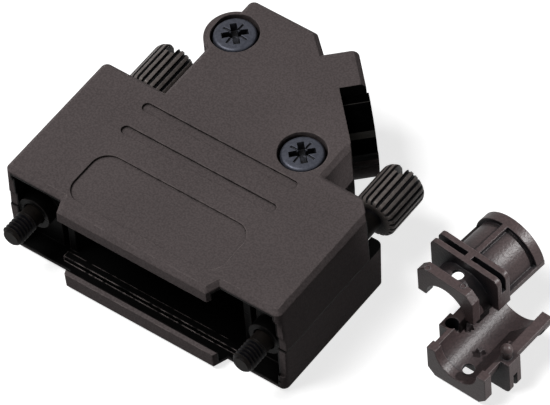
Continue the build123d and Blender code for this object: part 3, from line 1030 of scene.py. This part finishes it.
@dataclass
class TurnedRod:
    """A Geometry Nodes tree that cuts a thread and flutes into a plain turned rod."""

    name: str = "thread_and_flutes"

    def build(self, knob: bpy.types.Material,
              thread: bpy.types.Material) -> bpy.types.GeometryNodeTree:
        """Builds the tree for its two materials.

        Args:
            knob: the finish of the knob.
            thread: the darker finish of the threaded end and the shank, painted shade on the
                knob's own steel.

        Returns:
            The tree, with a named input for each size.
        """
        sheet, given = shape_tree(self.name, (
            "Thread Start", "Thread End", "Thread Radius", "Thread Depth", "Pitch", "Knob Start",
            "Knob Radius", "Flutes", "Flute Depth", "Flute Width", "Slot At", "Slot Width",
            "Slot Depth"))
        place = sheet.point()
        around = sheet.math("ARCTAN2", place[2], place[0])
        turn = sheet.math("DIVIDE", around, 2 * math.pi)
        radius = sheet.radius(place[0], place[2])
        cut = sheet.math("ADD", self._thread(sheet, given, place[1], turn, radius),
                         self._flutes(sheet, given, place[1], turn, radius))
        safe = sheet.math("MAXIMUM", radius, 1e-6)
        share = sheet.math("DIVIDE", sheet.math("SUBTRACT", safe, cut), safe)
        moved = sheet.vector(sheet.math("MULTIPLY", place[0], share), place[1],
                             sheet.math("MULTIPLY", place[2], share))
        shaped = sheet.add("GeometryNodeSetPosition", {"Geometry": given["Geometry"],
                                                       "Position": moved})
        cutter = self._slot(sheet, given)
        slotted = sheet.add("GeometryNodeMeshBoolean", {0: shaped.outputs[0], 1: cutter},
                            operation="DIFFERENCE", solver="EXACT")
        whole = sheet.add("GeometryNodeRealizeInstances", {0: slotted.outputs[0]})
        dressed = sheet.add("GeometryNodeSetMaterial", {"Geometry": whole.outputs[0],
                                                        "Material": knob})
        # Painted shade: everything ahead of the knob takes the darker thread finish.
        ahead = sheet.math("LESS_THAN", sheet.point()[1], given["Knob Start"])
        tipped = sheet.add("GeometryNodeSetMaterial", {"Geometry": dressed.outputs[0],
                                                       "Selection": ahead, "Material": thread})
        sheet.add("NodeGroupOutput", {0: tipped.outputs[0]})
        return sheet.tree

    @staticmethod
    def _thread(sheet: Sheet, given: bpy.types.NodeOutputs, along: Socket,
                turn: Socket, radius: Socket) -> Socket:
        """How deep the thread cuts at a point.

        Args:
            sheet: the tree's sheet.
            given: the tree's inputs.
            along: the point's place along the rod.
            turn: its angle, in turns.
            radius: its distance from the axis.

        Returns:
            The depth's socket.
        """
        phase = sheet.math("FRACT", sheet.math("SUBTRACT",
                                               sheet.math("DIVIDE", along, given["Pitch"]), turn))
        valley = sheet.math("ABSOLUTE", sheet.math("MULTIPLY_ADD", phase, 2.0, -1.0))
        groove = sheet.remap(valley, 0.2, 0.9, smooth=False)
        lead = sheet.math("MULTIPLY", given["Pitch"], 0.6)
        starts = sheet.remap(along, given["Thread Start"],
                             sheet.math("ADD", given["Thread Start"], lead))
        ends = sheet.remap(along, sheet.math("SUBTRACT", given["Thread End"], lead),
                           given["Thread End"], 1.0, 0.0)
        outside = sheet.remap(radius, sheet.math("MULTIPLY", given["Thread Radius"], 0.7),
                              sheet.math("MULTIPLY", given["Thread Radius"], 0.95))
        deep = sheet.math("MULTIPLY", groove, given["Thread Depth"])
        return sheet.math("MULTIPLY", sheet.math("MULTIPLY", deep, outside),
                          sheet.math("MULTIPLY", starts, ends))

    @staticmethod
    def _flutes(sheet: Sheet, given: bpy.types.NodeOutputs, along: Socket,
                turn: Socket, radius: Socket) -> Socket:
        """How deep the knob's flutes cut at a point.

        Args:
            sheet: the tree's sheet.
            given: the tree's inputs.
            along: the point's place along the rod.
            turn: its angle, in turns.
            radius: its distance from the axis.

        Returns:
            The depth's socket.
        """
        phase = sheet.math("FRACT", sheet.math("MULTIPLY", turn, given["Flutes"]))
        away = sheet.math("ABSOLUTE", sheet.math("MULTIPLY_ADD", phase, 2.0, -1.0))
        floor = sheet.math("MULTIPLY", given["Flute Width"], 0.45)
        groove = sheet.remap(away, floor, given["Flute Width"], 1.0, 0.0)
        on_knob = sheet.math("GREATER_THAN", along, given["Knob Start"])
        outside = sheet.remap(radius, sheet.math("MULTIPLY", given["Knob Radius"], 0.55),
                              sheet.math("MULTIPLY", given["Knob Radius"], 0.8))
        deep = sheet.math("MULTIPLY", groove, given["Flute Depth"])
        return sheet.math("MULTIPLY", sheet.math("MULTIPLY", deep, outside), on_knob)

    @staticmethod
    def _slot(sheet: Sheet, given: bpy.types.NodeOutputs) -> Socket:
        """The block that cuts the screwdriver slot.

        Args:
            sheet: the tree's sheet.
            given: the tree's inputs.

        Returns:
            The block's geometry socket.
        """
        size = sheet.vector(given["Slot Width"], sheet.math("MULTIPLY", given["Slot Depth"], 2.0),
                            sheet.math("MULTIPLY", given["Knob Radius"], 3.0))
        block = sheet.add("GeometryNodeMeshCube", {"Size": size})
        moved = sheet.add("GeometryNodeTransform", {
            "Geometry": block.outputs[0], "Translation": sheet.vector(y=given["Slot At"])})
        return moved.outputs[0]


@dataclass
class Thumbscrew:
    """One thumbscrew: a threaded end, a shank with the clip's groove and a fluted knob."""

    side: str
    thread_radius: float = 1.42 * MM
    thread_depth: float = 0.34 * MM
    thread_pitch: float = 0.5 * MM
    thread_length: float = 3.1 * MM
    tip_round: float = 0.4 * MM
    shank_radius: float = 1.3 * MM
    groove_radius: float = 1.05 * MM
    groove_start: float = 9.25 * MM
    groove_width: float = 0.6 * MM
    knob_radius: float = 2.95 * MM
    knob_length: float = 6.9 * MM
    near_round: float = 0.5 * MM
    far_round: float = 1.0 * MM
    flutes: int = 22
    flute_depth: float = 0.34 * MM
    flute_width: float = 0.46
    slot_width: float = 1.15 * MM
    slot_depth: float = 1.45 * MM
    around: int = 264
    ring_step: float = 0.055 * MM

    @property
    def node(self) -> str:
        """The CAD node that this screw stands for."""
        return f"thumbscrew_{self.side}"

    def build(self, tree: bpy.types.GeometryNodeTree) -> None:
        """Makes, places and dresses the screw.

        Args:
            tree: the tree that cuts the thread, the flutes and the slot.
        """
        low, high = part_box(self.node)
        length = high.y - low.y
        rod = self._rod(length)
        settle(rod, tree, {
            "Thread Start": 0.0, "Thread End": self.thread_length,
            "Thread Radius": self.thread_radius, "Thread Depth": self.thread_depth,
            "Pitch": self.thread_pitch, "Knob Start": length - self.knob_length,
            "Knob Radius": self.knob_radius, "Flutes": float(self.flutes),
            "Flute Depth": self.flute_depth, "Flute Width": self.flute_width,
            "Slot At": length, "Slot Width": self.slot_width, "Slot Depth": self.slot_depth})
        piece = plain_mesh(rod, f"turned_screw_{self.side}")
        middle = (low + high) / 2
        piece.data.transform(Matrix.Translation((middle.x, low.y, middle.z)))
        hand_over(piece, self.node, self.node)

    def _profile(self, length: float) -> list[tuple[float, float]]:
        """The rod's outline.

        Args:
            length: the whole screw's length.

        Returns:
            Places along the rod, each with its radius.
        """
        knob = length - self.knob_length
        points = [(0.0, 0.0), (0.0, self.thread_radius - self.tip_round),
                  (self.tip_round, self.thread_radius),
                  (self.thread_length, self.thread_radius),
                  (self.thread_length + 0.1 * MM, self.shank_radius),
                  (self.groove_start, self.shank_radius), (self.groove_start, self.groove_radius),
                  (self.groove_start + self.groove_width, self.groove_radius),
                  (self.groove_start + self.groove_width, self.shank_radius),
                  (knob, self.shank_radius)]
        steps = 6
        quarter = [math.pi / 2 * step / steps for step in range(steps + 1)]
        points += [(knob + self.near_round * (1 - math.cos(bend)),
                    self.knob_radius - self.near_round * (1 - math.sin(bend)))
                   for bend in quarter]
        points += [(length - self.far_round * (1 - math.sin(bend)),
                    self.knob_radius - self.far_round * (1 - math.cos(bend)))
                   for bend in quarter]
        points.append((length, 0.0))
        return points

    def _rod(self, length: float) -> bpy.types.Object:
        """Turns the plain rod about the Y axis, close-ringed where it is threaded.

        Args:
            length: the whole screw's length.

        Returns:
            The rod's object.
        """
        outline: list[tuple[float, float]] = []
        points = self._profile(length)
        for (y0, r0), (y1, r1) in zip(points, points[1:]):
            threaded = y1 <= self.thread_length + TINY and y1 > y0
            count = max(1, round((y1 - y0) / self.ring_step)) if threaded else 1
            outline += [(y0 + (y1 - y0) * k / count, r0 + (r1 - r0) * k / count)
                        for k in range(count)]
        outline.append(points[-1])
        return lathe("rod", outline, self.around)


def lathe(name: str, outline: list[tuple[float, float]], around: int) -> bpy.types.Object:
    """Turns an outline about the Y axis into a closed mesh.

    Args:
        name: the object's name.
        outline: places along Y and radii, from one pole to the other.
        around: how many faces go round.

    Returns:
        The new object.
    """
    shape = bmesh.new()
    rings: list[list[bmesh.types.BMVert]] = []
    for y, radius in outline:
        if radius < TINY:
            rings.append([shape.verts.new((0.0, y, 0.0))])
            continue
        ring = []
        for step in range(around):
            angle = 2 * math.pi * step / around
            ring.append(shape.verts.new((radius * math.cos(angle), y, radius * math.sin(angle))))
        rings.append(ring)
    for near, far in zip(rings, rings[1:]):
        for step in range(around):
            after = (step + 1) % around
            if len(near) == 1:
                shape.faces.new((near[0], far[step], far[after]))
            elif len(far) == 1:
                shape.faces.new((near[after], near[step], far[0]))
            else:
                shape.faces.new((near[after], near[step], far[step], far[after]))
    bmesh.ops.recalc_face_normals(shape, faces=shape.faces)
    return put_down(name, shape)


@dataclass
class StarRecess:
    """A Geometry Nodes tree that cuts a cross recess and its four marks into a screw head."""

    name: str = "star_recess"

    def build(self, material: bpy.types.Material) -> bpy.types.GeometryNodeTree:
        """Builds the tree for one material.

        Args:
            material: what the finished screw is made of.

        Returns:
            The tree, with a named input for each size.
        """
        sheet, given = shape_tree(self.name, (
            "Crown", "Turn", "Wing Length", "Wing Width", "Wing Depth", "Wing Draft",
            "Mark Length", "Mark Width", "Mark Depth", "Eye Radius", "Eye Depth"))
        wings = self._blades(sheet, given, "Wing", given["Turn"])
        marks = self._blades(sheet, given, "Mark",
                             sheet.math("ADD", given["Turn"], math.radians(45)))
        cut = sheet.add("GeometryNodeMeshBoolean", {0: given["Geometry"], 1: wings},
                        operation="DIFFERENCE", solver="EXACT")
        for cutter in (marks, self._eye(sheet, given)):
            sheet.feed(cut, 1, cutter)
        cut.inputs["Self Intersection"].default_value = True
        whole = sheet.add("GeometryNodeRealizeInstances", {0: cut.outputs[0]})
        dressed = sheet.add("GeometryNodeSetMaterial", {"Geometry": whole.outputs[0],
                                                        "Material": material})
        sheet.add("NodeGroupOutput", {0: dressed.outputs[0]})
        return sheet.tree

    @staticmethod
    def _blades(sheet: Sheet, given: bpy.types.NodeOutputs, kind: str,
                turn: Socket) -> Socket:
        """Two crossed blades whose walls lean inwards with depth.

        Args:
            sheet: the tree's sheet.
            given: the tree's inputs.
            kind: the first word of the inputs that give the blades' size.
            turn: how far the pair is turned about the screw.

        Returns:
            The blades' geometry socket.
        """
        size = sheet.vector(given[f"{kind} Length"], given[f"{kind} Width"],
                            sheet.math("MULTIPLY", given[f"{kind} Depth"], 2.0))
        block = sheet.add("GeometryNodeMeshCube", {"Size": size})
        place = sheet.point()
        wider = sheet.math("MULTIPLY_ADD", place[2], given["Wing Draft"], 1.0)
        leaned = sheet.vector(sheet.math("MULTIPLY", place[0], wider),
                              sheet.math("MULTIPLY", place[1], wider), place[2])
        drafted = sheet.add("GeometryNodeSetPosition", {"Geometry": block.outputs[0],
                                                        "Position": leaned})
        line = sheet.add("GeometryNodeMeshLine", {"Count": 2, "Offset": (0.0, 0.0, 0.0)})
        number = sheet.add("GeometryNodeInputIndex").outputs[0]
        angle = sheet.math("MULTIPLY_ADD", number, math.pi / 2, turn)
        pair = sheet.add("GeometryNodeInstanceOnPoints", {
            "Points": line.outputs[0], "Instance": drafted.outputs[0],
            "Rotation": sheet.vector(z=angle)})
        moved = sheet.add("GeometryNodeTransform", {
            "Geometry": pair.outputs[0], "Translation": sheet.vector(z=given["Crown"])})
        return sheet.add("GeometryNodeRealizeInstances", {0: moved.outputs[0]}).outputs[0]

    @staticmethod
    def _eye(sheet: Sheet, given: bpy.types.NodeOutputs) -> Socket:
        """The round cone at the middle of the recess.

        Args:
            sheet: the tree's sheet.
            given: the tree's inputs.

        Returns:
            The cone's geometry socket.
        """
        cone = sheet.add("GeometryNodeMeshCone", {
            "Vertices": 24, "Radius Top": given["Eye Radius"],
            "Radius Bottom": sheet.math("MULTIPLY", given["Eye Radius"], 0.4),
            "Depth": given["Eye Depth"]})
        lift = sheet.vector(z=sheet.math("SUBTRACT", given["Crown"],
                                         sheet.math("MULTIPLY", given["Eye Depth"], 0.9)))
        return sheet.add("GeometryNodeTransform", {"Geometry": cone.outputs[0],
                                                   "Translation": lift}).outputs[0]


@dataclass
class CoverScrew:
    """One of the two pan-head screws that hold the shells together."""

    place: str
    head_radius: float = 2.65 * MM
    head_height: float = 2.25 * MM
    rim_round: float = 0.45 * MM
    crown_rise: float = 0.12 * MM
    thread_radius: float = 1.45 * MM
    tip_round: float = 0.4 * MM
    wing_length: float = 3.3 * MM
    wing_width: float = 0.85 * MM
    wing_depth: float = 1.1 * MM
    wing_draft: float = 0.22
    mark_length: float = 3.5 * MM
    mark_width: float = 0.3 * MM
    mark_depth: float = 0.28 * MM
    eye_radius: float = 0.85 * MM
    eye_depth: float = 1.3 * MM
    turn: float = 45.0
    around: int = 96

    @property
    def node(self) -> str:
        """The CAD node that this screw stands for."""
        return f"cover_screw_{self.place}"

    def build(self, tree: bpy.types.GeometryNodeTree) -> None:
        """Makes, places and dresses the screw.

        Args:
            tree: the tree that cuts the recess.
        """
        low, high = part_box(self.node)
        length = high.z - low.z
        screw = lathe("screw", self._profile(length), self.around)
        screw.data.transform(Matrix.Rotation(math.pi / 2, 4, "X"))
        settle(screw, tree, {
            "Crown": length, "Turn": math.radians(self.turn), "Wing Length": self.wing_length,
            "Wing Width": self.wing_width, "Wing Depth": self.wing_depth,
            "Wing Draft": self.wing_draft / self.wing_depth, "Mark Length": self.mark_length,
            "Mark Width": self.mark_width, "Mark Depth": self.mark_depth,
            "Eye Radius": self.eye_radius, "Eye Depth": self.eye_depth})
        piece = plain_mesh(screw, f"star_screw_{self.place}")
        middle = (low + high) / 2
        piece.data.transform(Matrix.Translation((middle.x, middle.y, low.z)))
        hand_over(piece, "hood", self.node)

    def _profile(self, length: float) -> list[tuple[float, float]]:
        """The screw's outline from its tip to its slightly domed crown.

        Args:
            length: the whole screw's length.

        Returns:
            Places along the screw, each with its radius.
        """
        seat = length - self.head_height
        rim = length - self.crown_rise
        steps = 6
        points = [(0.0, 0.0), (0.0, self.thread_radius - self.tip_round),
                  (self.tip_round, self.thread_radius), (seat, self.thread_radius),
                  (seat, self.head_radius)]
        for step in range(steps + 1):
            bend = math.pi / 2 * step / steps
            points.append((rim - self.rim_round * (1 - math.sin(bend)),
                           self.head_radius - self.rim_round * (1 - math.cos(bend))))
        shoulder = self.head_radius - self.rim_round
        for share in (0.75, 0.5, 0.25):
            points.append((length - self.crown_rise * share ** 2, shoulder * share))
        points.append((length, 0.0))
        return points


@dataclass(frozen=True)
class Beam:
    """One narrow spotlight: what it is aimed at and the only pieces it lights."""

    name: str
    target: Place
    direction: Place
    cone: float
    power: float
    lit: tuple[str, ...]


@dataclass
class Studio:
    """The floor, the lamps, the world and the camera."""

    azimuth: float = 40.340
    elevation: float = 50.916
    roll: float = -5.247
    aim: Place = (5.613 * MM, 8.062 * MM, 7.0 * MM)
    distance: float = 710 * MM
    focal_pixels: float = 6091.8
    sensor: float = 36.0
    near_clip: float = 0.05
    far_clip: float = 10.0
    floor_size: float = 1.6
    paper: float = 0.6
    paper_glow: float = 0.76
    felt: float = 0.09
    fill: float = 0.03
    key_place: Place = (-0.3, -0.25, 0.8)
    key_size: float = 0.4
    key_power: float = 7.6
    beam_length: float = 0.5
    beam_softness: float = 4.0 * MM
    beam_blend: float = 0.15
    beams: tuple[Beam, ...] = (
        Beam("clamp_spot", (0.0335, 0.0105, 0.006), (0.59, 0.48, 0.64), 4.0, 24.0,
             CableClamp.nodes + ClampTeeth.pieces),
        Beam("neck_spot", (0.0123, 0.0145, 0.0105), (0.9, -0.1, 0.3), 1.4, 4.5, Shells.nodes))

    def build(self) -> None:
        """Sets up everything round the object."""
        self._camera()
        self._floor()
        self._world()
        self._key_lamp()
        for beam in self.beams:
            self._spot(beam)
        bpy.context.scene.view_settings.view_transform = "Standard"
        log.info("studio: camera, floor, world and lamps")

    def _camera(self) -> None:
        """Places the camera at the photograph's angle."""
        a, e, r = (math.radians(v) for v in (self.azimuth, self.elevation, self.roll))
        back = Vector((math.sin(a) * math.cos(e), -math.cos(a) * math.cos(e), math.sin(e)))
        right = (-back).cross(Vector((0, 0, 1))).normalized()
        up = right.cross(-back)
        level = math.cos(r) * right + math.sin(r) * up
        upright = -math.sin(r) * right + math.cos(r) * up
        turn = Matrix((level, upright, back)).transposed().to_4x4()
        lens = bpy.data.cameras.new("camera")
        lens.sensor_fit = "HORIZONTAL"
        lens.sensor_width = self.sensor
        lens.lens = self.focal_pixels * self.sensor / PHOTO_WIDTH
        lens.clip_start, lens.clip_end = self.near_clip, self.far_clip
        camera = show("camera", lens)
        place = Vector(self.aim) + back * self.distance
        camera.matrix_world = Matrix.Translation(place) @ turn
        bpy.context.scene.camera = camera

    def _floor(self) -> None:
        """Lays the pale floor, white to the eye and calmer as a reflector."""
        shape = bmesh.new()
        bmesh.ops.create_grid(shape, x_segments=8, y_segments=8, size=self.floor_size)
        floor = put_down("floor", shape)
        material = bpy.data.materials.new("floor_paper")
        material.use_nodes = True
        sheet = Sheet(material.node_tree)
        paper, felt = (sheet.add("ShaderNodeBsdfDiffuse", {"Color": (grey, grey, grey, 1.0)})
                       for grey in (self.paper, self.felt))
        lift = sheet.add("ShaderNodeEmission", {"Color": (1.0, 1.0, 1.0, 1.0),
                                                "Strength": self.paper_glow})
        shown = sheet.add("ShaderNodeAddShader", {0: paper.outputs[0], 1: lift.outputs[0]})
        both = sheet.add("ShaderNodeMixShader", {0: sheet.seen(), 1: felt.outputs[0],
                                                 2: shown.outputs[0]})
        sheet.add("ShaderNodeOutputMaterial", {"Surface": both.outputs[0]})
        floor.data.materials.append(material)

    def _world(self) -> None:
        """Makes the world white to the eye and a soft grey fill to the object."""
        world = bpy.data.worlds.new("room")
        world.use_nodes = True
        bpy.context.scene.world = world
        sheet = Sheet(world.node_tree)
        level = sheet.remap(sheet.seen(), 0.0, 1.0, self.fill, 1.0, smooth=False)
        glow = sheet.add("ShaderNodeBackground", {"Color": (1.0, 1.0, 1.0, 1.0),
                                                  "Strength": level})
        sheet.add("ShaderNodeOutputWorld", {"Surface": glow.outputs[0]})

    def _key_lamp(self) -> None:
        """Hangs the soft square lamp that faces the object."""
        light = bpy.data.lights.new("key_lamp", "AREA")
        light.shape = "SQUARE"
        light.size = self.key_size
        light.energy = self.key_power
        self._hang(light, Vector(self.key_place), Vector(self.aim) - Vector(self.key_place))

    def _spot(self, beam: Beam) -> None:
        """Hangs one narrow spotlight that lights its own pieces only.

        Args:
            beam: the spotlight.
        """
        light = bpy.data.lights.new(beam.name, "SPOT")
        light.spot_size = math.radians(beam.cone)
        light.spot_blend = self.beam_blend
        light.shadow_soft_size = self.beam_softness
        light.energy = beam.power
        way = Vector(beam.direction).normalized()
        lamp = self._hang(light, Vector(beam.target) + way * self.beam_length, -way)
        reached = bpy.data.collections.new(f"{beam.name}_lit")
        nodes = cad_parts
        for name in beam.lit:
            reached.objects.link(nodes[name] if name in nodes else bpy.data.objects[name])
        lamp.light_linking.receiver_collection = reached

    @staticmethod
    def _hang(light: bpy.types.Light, place: Vector, facing: Vector) -> bpy.types.Object:
        """Hangs a light at a place, turned to face a direction.

        Args:
            light: the light.
            place: where it hangs.
            facing: the direction that it faces.

        Returns:
            The lamp.
        """
        lamp = show(light.name, light)
        lamp.location = place
        lamp.rotation_mode = "QUATERNION"
        lamp.rotation_quaternion = facing.to_track_quat("-Z", "Y")
        return lamp


def main() -> None:
    """Builds every part of the scene in order."""
    logging.basicConfig(level=logging.INFO, format="%(name)s: %(message)s")
    shelf = EffectShelf()
    shelf.build()
    wardrobe = Wardrobe(shelf)
    Shells().build(wardrobe)
    recess = StarRecess().build(wardrobe.get(COVER_SCREW))
    for place in ("rear", "side"):
        CoverScrew(place).build(recess)
    ExitSleeve().build(wardrobe)
    Clips().build(wardrobe)
    CableClamp().build(wardrobe)
    ClampTeeth().build(wardrobe)
    turned = TurnedRod().build(wardrobe.get(THUMBSCREW), wardrobe.get(THREAD))
    for side in ("left", "right"):
        Thumbscrew(side).build(turned)
    Studio().build()


if __name__ == "__main__":
    main()
